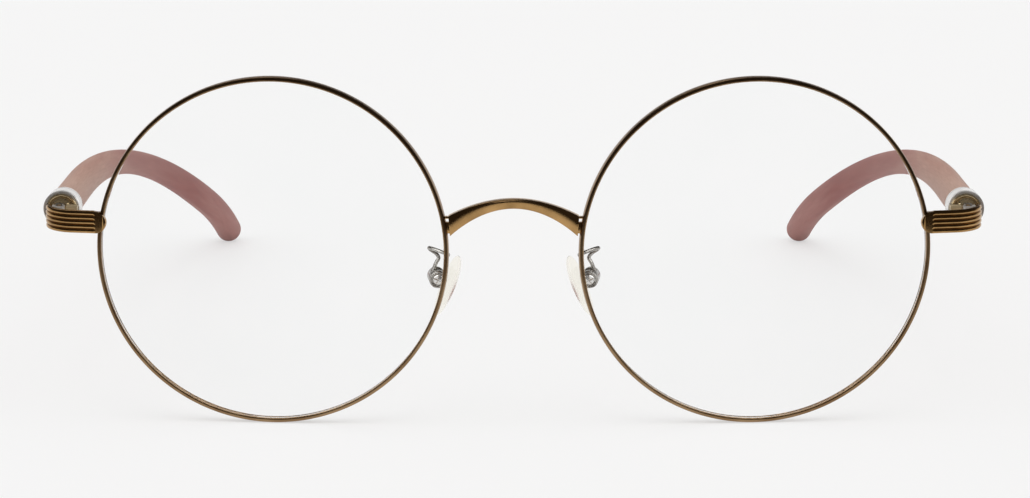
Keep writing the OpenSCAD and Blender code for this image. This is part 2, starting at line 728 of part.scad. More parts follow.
module temple_wood(side) {
    still = [[1, 0, 0], [0, 1, 0], [0, 0, 1]];
    head_r = wood_head_d / 2;
    back = ferrule_l + fit;
    rings = concat(
        [
            for (p = [
                [tenon_front, tenon_r], [back, tenon_r],
                [back + fit, head_r - shoulder], [back + shoulder, head_r]
            ])
                ring([0, 0, p[0]], still, p[1], wood_sides)
        ],
        [
            for (i = [1:straight_rings])
                let (t = i / straight_rings)
                    ring(
                        [0, 0, back + shoulder + (straight_l - back - shoulder) * t], still,
                        head_r + (wood_neck_d / 2 - head_r) * t, wood_sides
                    )
        ],
        [
            for (i = [1:bend_rings])
                let (t = i / bend_rings, a = bend_angle * t)
                    ring(
                        [0, 0, straight_l] + arc_end(bend_r, bend_turn, a), bent(bend_turn, a),
                        wood_radius(t), wood_sides
                    )
        ],
        [
            for (i = [1:tip_rings])
                let (t = i / tip_rings, a = tip_bend_angle * t)
                    ring(
                        bend_end + bend_frame * arc_end(tip_bend_r, tip_bend_turn, a),
                        bend_frame * bent(tip_bend_turn, a),
                        (wood_tip_d + (wood_end_d - wood_tip_d) * t) / 2, wood_sides
                    )
        ],
        [
            for (i = [1:cap_rings])
                let (a = 88 * i / cap_rings)
                    ring(
                        tip_centre + tip_frame * [0, 0, tip_r * sin(a)], tip_frame,
                        tip_r * cos(a), wood_sides
                    )
        ]
    );
    color("rosybrown") on_side(side) temple_place() difference() {
        skin(rings);
        cylinder(d = core_d + 2 * fit, h = insert_t - core_let_in + core_l + 2 * fit);
    }
}

// Pad arm: wire from the back of the rim, round a loop and down into the pad box
module pad_arm(side) {
    color("silver") on_side(side) wire(smooth_path(arm_path, arm_steps), arm_r, wire_sides);
}

// Pad box: a round cup, slotted towards the nose, with a seat for the arm's wire in its back wall
module pad_box(side) {
    color("darkgray") on_side(side) pad_place() difference() {
        y_cylinder(box_r, -box_l / 2, box_l / 2);
        translate([-2 * box_r + web_x, -box_slot_w / 2, -box_d]) cube([2 * box_r, box_slot_w, 2 * box_d]);
        y_cylinder(pad_screw_d / 2 + fit, -box_l, box_l);
        translate(seat_at - [0, 0, arm_seat]) cylinder(r = arm_r + 2 * fit, h = box_r);
    }
}

// Pad screw, with its head to the front
module pad_screw(side) {
    head = -box_l / 2 - fit;
    color("gainsboro") on_side(side) pad_place() difference() {
        union() {
            y_cylinder(pad_screw_d / 2, head - 0.01, box_l / 2);
            y_cylinder(pad_screw_head_d / 2, head - pad_screw_head_h, head);
        }
        translate([-pad_screw_head_d, head - 1.5 * pad_screw_head_h, -screw_slot_w / 2])
            cube([2 * pad_screw_head_d, pad_screw_head_h, screw_slot_w]);
    }
}

// Pad plate: the hard plate inside the pad, with the lug that goes into the pad box
module pad_plate(side) {
    color("whitesmoke") on_side(side) pad_place() difference() {
        union() {
            translate([plate_x - plate_t, -plate_w / 2, -pad_hang - plate_l / 2])
                cube([plate_t, plate_w, plate_l]);
            y_cylinder(lug_d / 2, -lug_t / 2, lug_t / 2);
            translate([plate_x - plate_t / 2, -lug_t / 2, -lug_d / 2])
                cube([-plate_x + plate_t / 2, lug_t, lug_d]);
        }
        y_cylinder(pad_screw_d / 2 + hinge_play + fit, -box_l, box_l);
    }
}

// Nose pad: a soft oval pad, crowned towards the nose, moulded round its plate
function pad_outline(x, share) = [
    for (k = [0:pad_sides - 1])
        let (a = 360 * k / pad_sides, taper = 1 + 0.12 * cos(a))
            [x, share * pad_w / 2 * sin(a) * taper, share * pad_l / 2 * cos(a) - pad_hang]
];

module nose_pad(side) {
    outline = [
        [0, 0.84], [0.1, 0.95], [0.3, 1], [0.5, 0.98], [0.72, 0.84], [0.88, 0.6], [0.97, 0.32], [1, 0.08]
    ];
    color([0.95, 0.94, 0.86, 0.6]) on_side(side) pad_place() difference() {
        skin([for (p = outline) pad_outline(pad_back_x - p[0] * pad_t, p[1])]);
        translate([plate_x - plate_t - fit, -plate_w / 2 - fit, -pad_hang - plate_l / 2 - fit])
            cube([plate_t + 2 * fit, plate_w + 2 * fit, plate_l + 2 * fit]);
        translate([plate_x - plate_t / 2, -lug_t / 2 - fit, -lug_d / 2 - fit])
            cube([-plate_x, lug_t + 2 * fit, lug_d + 2 * fit]);
    }
}

rim("left");  // rim_left
rim("right");  // rim_right
lens("left");  // lens_left
lens("right");  // lens_right
bridge();
end_piece("left");  // end_piece_left
end_piece("right");  // end_piece_right
rim_lock("left");  // rim_lock_left
rim_lock("right");  // rim_lock_right
rim_screw("left");  // rim_screw_left
rim_screw("right");  // rim_screw_right
front_hinge("left");  // front_hinge_left
front_hinge("right");  // front_hinge_right
temple_hinge("left");  // temple_hinge_left
temple_hinge("right");  // temple_hinge_right
hinge_screw("left");  // hinge_screw_left
hinge_screw("right");  // hinge_screw_right
ferrule("left");  // ferrule_left
ferrule("right");  // ferrule_right
ferrule_insert("left");  // ferrule_insert_left
ferrule_insert("right");  // ferrule_insert_right
temple_core("left");  // temple_core_left
temple_core("right");  // temple_core_right
temple_wood("left");  // temple_wood_left
temple_wood("right");  // temple_wood_right
pad_arm("left");  // pad_arm_left
pad_arm("right");  // pad_arm_right
pad_box("left");  // pad_box_left
pad_box("right");  // pad_box_right
pad_screw("left");  // pad_screw_left
pad_screw("right");  // pad_screw_right
pad_plate("left");  // pad_plate_left
pad_plate("right");  // pad_plate_right
nose_pad("left");  // nose_pad_left
nose_pad("right");  // nose_pad_right
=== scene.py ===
import json
import math

import bpy
from mathutils import Matrix, Vector

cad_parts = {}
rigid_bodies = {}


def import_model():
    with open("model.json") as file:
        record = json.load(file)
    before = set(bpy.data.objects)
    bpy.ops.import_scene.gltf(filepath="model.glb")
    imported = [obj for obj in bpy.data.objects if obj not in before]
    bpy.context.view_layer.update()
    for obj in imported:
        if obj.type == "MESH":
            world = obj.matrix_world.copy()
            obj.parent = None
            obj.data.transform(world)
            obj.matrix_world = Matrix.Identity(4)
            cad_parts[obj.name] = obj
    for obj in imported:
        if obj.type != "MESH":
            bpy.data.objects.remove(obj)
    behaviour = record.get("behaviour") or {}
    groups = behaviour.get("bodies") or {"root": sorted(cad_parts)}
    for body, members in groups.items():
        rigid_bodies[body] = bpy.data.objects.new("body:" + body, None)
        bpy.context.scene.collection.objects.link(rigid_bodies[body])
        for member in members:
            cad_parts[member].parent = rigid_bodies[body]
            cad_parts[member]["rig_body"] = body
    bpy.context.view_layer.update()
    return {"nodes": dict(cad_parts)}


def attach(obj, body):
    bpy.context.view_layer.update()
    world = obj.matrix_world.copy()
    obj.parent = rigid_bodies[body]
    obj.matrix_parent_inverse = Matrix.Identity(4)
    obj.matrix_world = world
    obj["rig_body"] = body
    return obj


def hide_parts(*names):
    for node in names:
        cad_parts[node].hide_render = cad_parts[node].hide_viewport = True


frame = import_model()
bpy.ops.object.select_all(action="DESELECT")

# --- Camera -------------------------------------------------------------------------
# A long lens eleven degrees above the table, square on to the front of the frame. It
# aims between the two rims at the height of their centres.
picture_w = 1030
aim = (0.0, -0.07139, 0.02599)
camera_far = 0.6928
camera_up = math.radians(11)
pixels_per_radian = 4718
shift_right, shift_up = 1.22, 2.47
sensor_w = 36

bpy.ops.object.camera_add(
    location=(
        aim[0],
        aim[1] - camera_far * math.cos(camera_up),
        aim[2] + camera_far * math.sin(camera_up),
    ),
    rotation=(math.radians(90) - camera_up, 0, 0),
)
camera = bpy.context.object
camera.data.sensor_width = sensor_w
camera.data.lens = pixels_per_radian / picture_w * sensor_w
camera.data.shift_x = shift_right / picture_w
camera.data.shift_y = shift_up / picture_w
camera.data.clip_start = 0.01
bpy.context.scene.camera = camera

# --- Table top ----------------------------------------------------------------------
# A sheet of matt pale card that the eyeglasses stand on. It runs far out behind them
# and to both sides, and ends a hand's width in front, out of the picture.
card_left, card_front, card_right, card_back = -0.6, -0.135, 0.6, 0.9
card_white, card_lift = "#f5f5f5", 0.6


def colour(code):
    """Turns an sRGB hex colour to the linear one that a node takes."""
    parts = [int(code[n : n + 2], 16) / 255 for n in (1, 3, 5)]
    return [p / 12.92 if p <= 0.04045 else ((p + 0.055) / 1.055) ** 2.4 for p in parts] + [1]


def add(tree, kind, inputs=None, **settings):
    """Adds a node with its settings, and fills its inputs with values or with links."""
    node = tree.nodes.new("ShaderNode" + kind)
    for name, value in settings.items():
        setattr(node, name, value)
    for name, value in (inputs or {}).items():
        if isinstance(value, bpy.types.NodeSocket):
            tree.links.new(value, node.inputs[name])
        else:
            node.inputs[name].default_value = value
    return node


# Uncoated card: dead matt and nearly white, with no sheen. Seen directly, in metal or
# through a lens, it is lifted a little towards its own colour, which keeps the shadows
# on it light.
card = bpy.data.materials.new("matt_pale_card")
card.use_nodes = True
card_shader = card.node_tree.nodes["Principled BSDF"]
card_shader.inputs["Base Color"].default_value = colour(card_white)
card_shader.inputs["Roughness"].default_value = 1.0
card_shader.inputs["Specular IOR Level"].default_value = 0.0
card_tree = card.node_tree
card_ray = add(card_tree, "LightPath")
card_seen = add(
    card_tree,
    "Math",
    {0: card_ray.outputs["Is Camera Ray"], 1: card_ray.outputs["Is Transmission Ray"]},
    operation="MAXIMUM",
)
card_shown = add(
    card_tree,
    "Math",
    {0: card_seen.outputs[0], 1: card_ray.outputs["Is Glossy Ray"]},
    operation="MAXIMUM",
)
card_share = add(
    card_tree, "Math", {0: card_shown.outputs[0], 1: card_lift}, operation="MULTIPLY"
)
card_glow = add(card_tree, "Emission", {"Color": colour(card_white), "Strength": 1.0})
card_mix = add(
    card_tree,
    "MixShader",
    {0: card_share.outputs[0], 1: card_shader.outputs[0], 2: card_glow.outputs[0]},
)
card_tree.links.new(card_mix.outputs[0], card_tree.nodes["Material Output"].inputs["Surface"])

bpy.ops.mesh.primitive_plane_add(
    size=1, location=((card_left + card_right) / 2, (card_front + card_back) / 2, 0)
)
table_top = bpy.context.object
bpy.ops.transform.resize(value=(card_right - card_left, card_back - card_front, 1))
bpy.ops.object.transform_apply(location=True, rotation=True, scale=True)
table_top.name = "table_top"
table_top.data.materials.append(card)

# --- Studio light -------------------------------------------------------------------
# A dim room with a pale backdrop low behind the table, and one small window high behind
# it, gives polished metal its dark and bright halves. Three wide lamps light the table
# and the wood evenly.
room_dark, window_pale, beyond = "#383330", "#fbf6ec", "#f5f5f5"
window_way, window_edge, window_full = (-0.14, 0.76, 0.64), 0.975, 0.99
backdrop_full, backdrop_top = 0.24, 0.32
backdrop_side, backdrop_back = 0.2, 0.5
lamp_spread = math.radians(75)

world = bpy.data.worlds.new("studio_room")
bpy.context.scene.world = world
world.use_nodes = True
air = world.node_tree
air.nodes.clear()
direction = add(air, "TexCoord")
facing = add(
    air,
    "VectorMath",
    {0: direction.outputs["Generated"], 1: Vector(window_way).normalized()},
    operation="DOT_PRODUCT",
)
shade = add(air, "ValToRGB", {"Fac": facing.outputs["Value"]})
shade.color_ramp.elements[0].position = window_edge
shade.color_ramp.elements[0].color = colour(room_dark)
shade.color_ramp.elements[1].position = window_full
shade.color_ramp.elements[1].color = colour(window_pale)
way = add(air, "SeparateXYZ", {"Vector": direction.outputs["Generated"]})
low = add(
    air,
    "MapRange",
    {0: way.outputs["Z"], 1: backdrop_full, 2: backdrop_top, 3: 1.0, 4: 0.0},
)
behind = add(
    air,
    "MapRange",
    {0: way.outputs["Y"], 1: backdrop_side, 2: backdrop_back, 3: 0.0, 4: 1.0},
)
backdrop = add(air, "Math", {0: low.outputs[0], 1: behind.outputs[0]}, operation="MULTIPLY")
walls = add(
    air,
    "Mix",
    {0: backdrop.outputs[0], 6: shade.outputs["Color"], 7: colour(beyond)},
    data_type="RGBA",
)
room = add(air, "Background", {"Color": walls.outputs[2], "Strength": 1.0})
plain = add(air, "Background", {"Color": colour(beyond), "Strength": 1.0})
ray = add(air, "LightPath")
seen = add(
    air,
    "Math",
    {0: ray.outputs["Is Camera Ray"], 1: ray.outputs["Is Transmission Ray"]},
    operation="MAXIMUM",
)
either = add(air, "MixShader", {0: seen.outputs[0], 1: room.outputs[0], 2: plain.outputs[0]})
add(air, "OutputWorld", {"Surface": either.outputs[0]})

for name, turn, lean, power in (
    ("left_lamp", -50, 45, 1.68),
    ("right_lamp", 50, 45, 1.68),
    ("back_lamp", 180, 30, 0.65),
):
    bpy.ops.object.light_add(
        type="SUN",
        location=(0, 0, 1),
        rotation=(math.radians(lean), 0, math.radians(turn)),
    )
    lamp = bpy.context.object
    lamp.name = name
    lamp.data.energy = power
    lamp.data.angle = lamp_spread
    lamp.visible_glossy = False

# --- Rims ---------------------------------------------------------------------------
# Two rims of drawn nickel-silver wire with rounded edges and a lens groove, bent round
# and split at the outer side, then plated in antique bronze and brushed along.

# Pieces are drawn in millimetres about the middle of the front, for the wearer's left
# side, and then set on the table, where the front leans a little.
front_at, front_lean, millimetre = (0, -0.071393, 0.025991), math.radians(1.509), 0.001
to_table = (
    Matrix.Translation(front_at)
    @ Matrix.Rotation(front_lean, 4, "X")
    @ Matrix.Scale(millimetre, 4)
)
to_other_side = Matrix.Scale(-1, 4, (1, 0, 0))
lens_x, wrap = 35.5, math.radians(4.2)
rim_axis = (
    Matrix.Translation((lens_x, 0, 0))
    @ Matrix.Rotation(wrap, 4, "Z")
    @ Matrix.Rotation(math.radians(-90), 4, "X")
)
rim_in, rim_out, rim_depth = 25.3, 26.0, 1.8
rim_crown, crown_power, crown_shy = 0.2, 0.75, 0.01
front_round, back_round = 0.24, 0.22
groove_mid, groove_half, groove_floor, groove_deep = rim_depth / 2, 0.45, 0.12, 0.36
split_h, split_half = 4.05, 0.15


def corner(x, y, r, first, last, steps=4):
    """Points round a rounded corner of a section, about its centre."""
    turns = [math.radians(first + (last - first) * n / steps) for n in range(steps + 1)]
    return [(x + r * math.cos(t), y + r * math.sin(t)) for t in turns]


def cleaned(piece):
    """Merges doubled points, closes open ends and turns all the faces outwards."""
    bpy.context.view_layer.objects.active = piece
    bpy.ops.object.mode_set(mode="EDIT")
    bpy.ops.mesh.select_all(action="SELECT")
    bpy.ops.mesh.remove_doubles(threshold=0.0004)
    bpy.ops.mesh.fill_holes(sides=0)
    bpy.ops.mesh.select_all(action="SELECT")
    bpy.ops.mesh.normals_make_consistent(inside=False)
    bpy.ops.object.mode_set(mode="OBJECT")
    return piece


def turned(section, steps, first=0.0, sweep=360.0):
    """A section of (radius, height) points, in millimetres, spun round the z axis."""
    bpy.ops.mesh.primitive_circle_add(vertices=len(section), radius=1, fill_type="NOTHING")
    piece = bpy.context.object
    start = Matrix.Rotation(math.radians(first), 4, "Z")
    for vertex, (r, z) in zip(piece.data.vertices, section):
        vertex.co = start @ Vector((r, 0, z))
    bpy.ops.object.mode_set(mode="EDIT")
    bpy.ops.mesh.select_all(action="SELECT")
    bpy.ops.mesh.spin(
        steps=steps,
        angle=math.radians(sweep),
        center=(0, 0, 0),
        axis=(0, 0, 1),
        use_normal_flip=False,
    )
    bpy.ops.object.mode_set(mode="OBJECT")
    return cleaned(piece)


def settled(piece, name, material, side, *nodes, sharp, body):
    """Sets a piece drawn in millimetres for the left on its side, smooth, on its body."""
    piece.name = name + "_" + side
    piece.data.transform(to_table if side == "left" else to_other_side @ to_table)
    bpy.ops.object.select_all(action="DESELECT")
    piece.select_set(True)
    bpy.context.view_layer.objects.active = piece
    if side == "right":
        bpy.ops.object.mode_set(mode="EDIT")
        bpy.ops.mesh.select_all(action="SELECT")
        bpy.ops.mesh.flip_normals()
        bpy.ops.object.mode_set(mode="OBJECT")
    piece.data.materials.clear()
    piece.data.materials.append(material)
    bpy.ops.object.shade_smooth_by_angle(angle=math.radians(sharp))
    nodes = [node + "_" + side for node in nodes]
    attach(piece, body or frame["nodes"][nodes[0]]["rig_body"])
    if nodes:
        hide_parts(*nodes)


def paired(piece, name, material, *nodes, sharp, body=""):
    """The piece on the left, and its mirrored copy on the right."""
    other = piece.copy()
    other.data = piece.data.copy()
    bpy.context.collection.objects.link(other)
    settled(piece, name, material, "left", *nodes, sharp=sharp, body=body)
    settled(other, name, material, "right", *nodes, sharp=sharp, body=body)


def plated(name, deep, light, rough, cloud_mm, grain_mm, dent_mm, metal=1.0):
    """Plated metal: two close tones in soft patches, with a fine polishing grain. Where
    it is less than wholly metallic, light from all sides softens its dark reflections."""
    patch_from, patch_to = 0.35, 0.65
    glossy_share, dull_share, dent_strength = 0.75, 1.35, 0.25
    material = bpy.data.materials.new(name)
    material.use_nodes = True
    tree = material.node_tree
    shader = tree.nodes["Principled BSDF"]
    place = add(tree, "TexCoord")
    cloud = add(
        tree,
        "TexNoise",
        {"Vector": place.outputs["Object"], "Scale": 1000 / cloud_mm, "Detail": 3.0},
    )
    tones = add(tree, "ValToRGB", {"Fac": cloud.outputs["Fac"]})
    tones.color_ramp.elements[0].position = patch_from
    tones.color_ramp.elements[0].color = colour(deep)
    tones.color_ramp.elements[1].position = patch_to
    tones.color_ramp.elements[1].color = colour(light)
    grain = add(
        tree,
        "TexNoise",
        {"Vector": place.outputs["Object"], "Scale": 1000 / grain_mm, "Detail": 4.0},
    )
    gloss = add(
        tree,
        "MapRange",
        {
            "Value": grain.outputs["Fac"],
            "To Min": rough * glossy_share,
            "To Max": rough * dull_share,
        },
    )
    dent = add(
        tree,
        "Bump",
        {
            "Height": grain.outputs["Fac"],
            "Strength": dent_strength,
            "Distance": dent_mm / 1000,
        },
    )
    tree.links.new(tones.outputs["Color"], shader.inputs["Base Color"])
    tree.links.new(gloss.outputs["Result"], shader.inputs["Roughness"])
    tree.links.new(dent.outputs["Normal"], shader.inputs["Normal"])
    shader.inputs["Metallic"].default_value = metal
    return material


# Satin bronze plate, brushed along the wire: warm brown with a soft broken shine.
bronze = plated("satin_bronze_plate", "#85694b", "#a18564", 0.3, 5.0, 0.15, 0.004)

rim_section = (
    [
        (
            rim_out - crown_shy - rim_crown + rim_crown * math.sin(a) ** crown_power,
            groove_mid + groove_mid * math.cos(a),
        )
        for a in (math.radians(5 + 10 * n) for n in range(18))
    ]
    + corner(rim_in + front_round, front_round, front_round, -90, -180, steps=7)
    + [(rim_in, groove_mid - groove_half), (rim_in + groove_deep, groove_mid - groove_floor)]
    + [(rim_in + groove_deep, groove_mid + groove_floor), (rim_in, groove_mid + groove_half)]
    + corner(rim_in + back_round, rim_depth - back_round, back_round, 180, 90)
)
split_turn = math.degrees(math.asin(split_h / rim_out))
split_wide = math.degrees(split_half / rim_out)
rim = turned(
    rim_section, steps=240, first=split_wide - split_turn, sweep=360 - 2 * split_wide
)
rim.data.transform(rim_axis)
paired(rim, "rim_wire", bronze, "rim", sharp=40)

# --- Lenses -------------------------------------------------------------------------
# Clear demonstration lenses, cast flat in power with an even curve, polished on both
# faces and bevelled round the edge to sit in the groove of the rim.
lens_r, lens_face_r, lens_half, lens_curve = 25.62, 25.26, 0.6, 130.0
bevel_half, bevel_tip, lens_steps = 0.3, 0.05, 16


def lens_sag(r):
    """How far a face of the lens stands forward of its edge at this radius."""
    return math.sqrt(lens_curve**2 - r**2) - math.sqrt(lens_curve**2 - lens_face_r**2)


# Coated optical resin: all but unseen, with a faint haze in patches of 11 mm. The coating
# takes away nearly all the glare, so the index is far below that of bare resin.
resin = bpy.data.materials.new("clear_optical_resin")
resin.use_nodes = True
resin_tree = resin.node_tree
resin_shader = resin_tree.nodes["Principled BSDF"]
resin_place = add(resin_tree, "TexCoord")
resin_haze = add(
    resin_tree,
    "TexNoise",
    {"Vector": resin_place.outputs["Object"], "Scale": 90.0, "Detail": 2.0},
)
resin_tint = add(resin_tree, "ValToRGB", {"Fac": resin_haze.outputs["Fac"]})
resin_tint.color_ramp.elements[0].color = colour("#fcfdfd")
resin_tint.color_ramp.elements[1].color = colour("#ffffff")
resin_tree.links.new(resin_tint.outputs["Color"], resin_shader.inputs["Base Color"])
resin_shader.inputs["Transmission Weight"].default_value = 1.0
resin_shader.inputs["Roughness"].default_value = 0.0
resin_shader.inputs["IOR"].default_value = 1.03

lens_radii = [lens_face_r * n / lens_steps for n in range(lens_steps + 1)]
lens_section = (
    [(r, groove_mid - lens_half - lens_sag(r)) for r in lens_radii]
    + [(lens_face_r, groove_mid - bevel_half), (lens_r, groove_mid - bevel_tip)]
    + [(lens_r, groove_mid + bevel_tip), (lens_face_r, groove_mid + bevel_half)]
    + [(r, groove_mid + lens_half - lens_sag(r)) for r in reversed(lens_radii)]
)
lens = turned(lens_section, steps=120)
lens.data.transform(rim_axis)
paired(lens, "lens_clear", resin, "lens", sharp=30)
for side in ("left", "right"):
    clear = bpy.data.objects["lens_clear_" + side]
    clear.visible_diffuse, clear.visible_shadow = False, False

# --- Bridge -------------------------------------------------------------------------
# A solid arched bar, swaged and filed to a ridge along its front, soldered between the
# rims by two small stubs at each end, and plated in polished antique gold.
bridge_half, bridge_y, bridge_depth = 9.46, -0.98, 1.9
bridge_under, bridge_mid_h, bridge_end_h = 6.9, 1.4, 3.0
bridge_drop, bridge_bow, ridge_out = 3.45, 0.6, 0.25
bridge_steps, bridge_round, bridge_round_from = 40, 0.05, math.radians(14)
stub_places, stub_depth, stub_overlap = ((3.0, 1.65), (5.2, 0.3)), 0.9, 0.4
stub_round, solder = 0.05, 0.02


def rim_edge_x(h, r=rim_out):
    """Where the nose side of a rim's outer face stands, at a height above its centre."""
    return lens_x - math.sqrt(r * r - h * h) * math.cos(wrap)


def lofted(rows):
    """A tube through rows of points: a grid is wrapped round, and its ends are closed."""
    across, along = len(rows[0]), len(rows)
    bpy.ops.mesh.primitive_grid_add(x_subdivisions=across, y_subdivisions=along - 1, size=1)
    piece = bpy.context.object
    spots = [spot for row in rows for spot in list(row) + [row[0]]]
    assert len(spots) == len(piece.data.vertices), (len(spots), len(piece.data.vertices))
    for vertex, spot in zip(piece.data.vertices, spots):
        vertex.co = spot
    return cleaned(piece)


def bridge_row(u):
    """The section of the bridge at a share u of the way from its middle to an end."""
    slope = -2 * bridge_drop * u / bridge_half
    up = Vector((-0.1 * slope, 0, 1)).normalized()
    centre = Vector(
        (
            u * bridge_half,
            bridge_y - bridge_bow * (1 - u * u),
            bridge_under + bridge_mid_h / 2 - bridge_drop * u * u,
        )
    )
    high = (bridge_mid_h + (bridge_end_h - bridge_mid_h) * u * u) / 2
    deep = bridge_depth / 2
    ridge = high * (0.75 - 0.55 * abs(u) ** 3)
    chamfer = 0.15
    low = -high + chamfer
    front = [(-deep + 0.03, high - 0.13)] + [
        (-deep - ridge_out * (1 - 0.45 * t - 0.55 * t * t), ridge + (low - ridge) * t)
        for t in (0, 0.2, 0.4, 0.6, 0.8, 1)
    ]
    under = [(-deep + chamfer, -high), (deep - chamfer, -high), (deep, -high + chamfer)]
    over = [(deep, high - 0.25), (deep - 0.12, high - 0.12), (deep - 0.4, high - 0.03)]
    over += [(0, high), (-deep + 0.45, high - 0.01), (-deep + 0.25, high - 0.03)]
    over += [(-deep + 0.1, high - 0.07)]
    return [centre + Vector((0, y, 0)) + up * z for y, z in front + under + over]


# Polished antique gold: bright where it mirrors the table and nearly black above.
gold = plated("polished_antique_gold_plate", "#9c7a4e", "#bb9562", 0.19, 4.0, 0.2, 0.003)

bridge = lofted([bridge_row(n / bridge_steps) for n in range(-bridge_steps, bridge_steps + 1)])
rounding = bridge.modifiers.new("rounding", "BEVEL")
rounding.width, rounding.segments, rounding.limit_method = bridge_round, 3, "ANGLE"
rounding.angle_limit = bridge_round_from
bpy.ops.object.modifier_apply(modifier="rounding")

stubs = []
for low, tall in stub_places:
    for side in (1, -1):
        inner, outer = bridge_half - stub_overlap, rim_edge_x(low) - solder / 2
        bpy.ops.mesh.primitive_cube_add(
            size=1, location=(side * (inner + outer) / 2, bridge_y, low + tall / 2)
        )
        stub = bpy.context.object
        bpy.ops.transform.resize(value=(outer - inner, stub_depth, tall))
        bpy.ops.object.transform_apply(location=True, rotation=True, scale=True)
        for vertex in stub.data.vertices:
            if side * vertex.co.x > bridge_half:
                vertex.co.x = side * (rim_edge_x(vertex.co.z) + solder)
        bpy.ops.object.mode_set(mode="EDIT")
        bpy.ops.mesh.select_all(action="SELECT")
        bpy.ops.mesh.bevel(offset=stub_round, segments=2)
        bpy.ops.object.mode_set(mode="OBJECT")
        stubs.append(stub)
bpy.ops.object.select_all(action="DESELECT")
for item in [*stubs, bridge]:
    item.select_set(True)
bpy.context.view_layer.objects.active = bridge
bpy.ops.object.join()
bridge.data.transform(to_table)
bridge.name = "bridge_bar"
bridge.data.materials.append(gold)
bpy.ops.object.shade_smooth_by_angle(angle=math.radians(35))
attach(bridge, "front")
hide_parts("bridge")

# --- End pieces ---------------------------------------------------------------------
# Curved lugs that carry the hinges, stamped with five rounded ribs that run out from a
# smooth border, with a thin raised collar on the rim, all in the bridge's gold plate.
end_x0, end_y0, end_x1, end_y1 = 59.958, 0.9865, 69.264, 6.781
end_sweep, end_r, end_half, ribs = math.radians(9), 5.0, 1.68, 5
end_cx, end_cy, end_z = 64.264, 6.7308, split_h
end_thick, end_last_thick, end_chamfer, end_crown, lock_end_x = 0.8, 1.0, 0.08, 0.06, 61.464
rib_deep, rib_points, rib_rise, ribs_at, bend_at = 0.26, 9, 0.4, 2.0, 5.15
collar_w, collar_high, border_at, border_inset, border_ease = 0.48, 0.1, 0.54, 0.05, 0.06
rise_steps, flat_steps, bend_rows = 6, 8, 24


def end_row(x, y, heading, half, thick, lip, share):
    """A section of the end piece: flat behind, with its ribs across the outer face."""
    inward = Vector((-math.sin(heading), math.cos(heading), 0))
    across = []
    for n in range(ribs * rib_points, -1, -1):
        w = n / (ribs * rib_points)
        q = 2 * (w * ribs - math.floor(min(w * ribs, ribs - 0.001))) - 1
        groove = share * rib_deep * (1 - math.sqrt(max(0.0, 1 - q * q)))
        across.append((groove + end_crown * (2 * w - 1) ** 2 - lip, half * (2 * w - 1)))
    back = [(thick - end_chamfer, -half), (thick, -half + end_chamfer)]
    back += [(thick, half - end_chamfer), (thick - end_chamfer, half)]
    return [Vector((x, y, end_z)) + inward * a + Vector((0, 0, b)) for a, b in back + across]


def end_flat(e, lip, share, inset=0.0):
    """A section e from the inner end, its back cut straight where it meets the lock."""
    half = math.sqrt(end_half**2 - (end_half - e) ** 2) if e < end_half else end_half
    x, y = end_x0 + e * math.cos(end_sweep), end_y0 + e * math.sin(end_sweep)
    thick = end_thick - (e * math.tan(end_sweep) if end_x0 + e < lock_end_x else 0)
    return end_row(x, y, end_sweep, half - inset, thick, lip, share)


# The collar, the smooth border, the rise of the ribs, the flat, the bend, and the end.
end_rows = [
    end_flat(e, collar_high * math.sin(math.pi * e / collar_w) ** 0.7, 0)
    for e in (0.01, 0.02, 0.04, 0.07, 0.11, 0.16, 0.24, 0.32, 0.39, 0.44, 0.47)
]
end_rows += [end_flat(border_at + 0.1 * n, 0, 0, border_inset) for n in range(11)]
for n in range(1, rise_steps + 1):
    rise = 0.5 - 0.5 * math.cos(math.pi * n / rise_steps)
    e = ribs_at - rib_rise + rib_rise * n / rise_steps
    end_rows.append(end_flat(e, 0, rise, border_ease * (1 - rise)))
for n in range(1, flat_steps):
    end_rows.append(end_flat(ribs_at + (bend_at - ribs_at) * n / flat_steps, 0, 1))
for n in range(bend_rows + 1):
    heading = end_sweep + (math.radians(90) - end_sweep) * n / bend_rows
    end_rows.append(
        end_row(
            end_cx + end_r * math.sin(heading),
            end_cy - end_r * math.cos(heading),
            heading,
            end_half,
            max(end_thick, end_r - (end_r - end_last_thick) / math.sin(heading)),
            0,
            1,
        )
    )
end_rows.append(end_row(end_x1, end_y1, math.radians(90), end_half, end_last_thick, 0, 1))
end_piece = lofted(end_rows)
paired(end_piece, "ribbed_end_piece", gold, "end_piece", sharp=38)


# --- Rim locks and rim screws -------------------------------------------------------
# Two small blocks brazed to the ends of each split rim, and the slotted screw that
# draws them together and holds the lens.
def finished(node, name, material, side, edge=0.0):
    """A merged copy of a frame node, shown in its place, with its sharp edges broken by
    a bevel of this many millimetres."""
    merge_within, flat_within, edge_from = 0.0000005, math.radians(0.5), math.radians(50)
    node = node + "_" + side
    mesh = frame["nodes"][node].data.copy()
    mesh.materials.clear()
    mesh.materials.append(material)
    piece = bpy.data.objects.new(name + "_" + side, mesh)
    bpy.context.collection.objects.link(piece)
    bpy.ops.object.select_all(action="DESELECT")
    piece.select_set(True)
    bpy.context.view_layer.objects.active = piece
    bpy.ops.object.mode_set(mode="EDIT")
    bpy.ops.mesh.select_all(action="SELECT")
    bpy.ops.mesh.remove_doubles(threshold=merge_within)
    bpy.ops.mesh.dissolve_limited(angle_limit=flat_within)
    bpy.ops.object.mode_set(mode="OBJECT")
    if edge:
        broken = piece.modifiers.new("broken_edge", "BEVEL")
        broken.width, broken.segments = edge * millimetre, 2
        broken.limit_method = "ANGLE"
        broken.angle_limit = edge_from
        bpy.ops.object.modifier_apply(modifier="broken_edge")
    bpy.ops.object.shade_smooth_by_angle(angle=math.radians(35))
    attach(piece, frame["nodes"][node]["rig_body"])
    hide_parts(node)


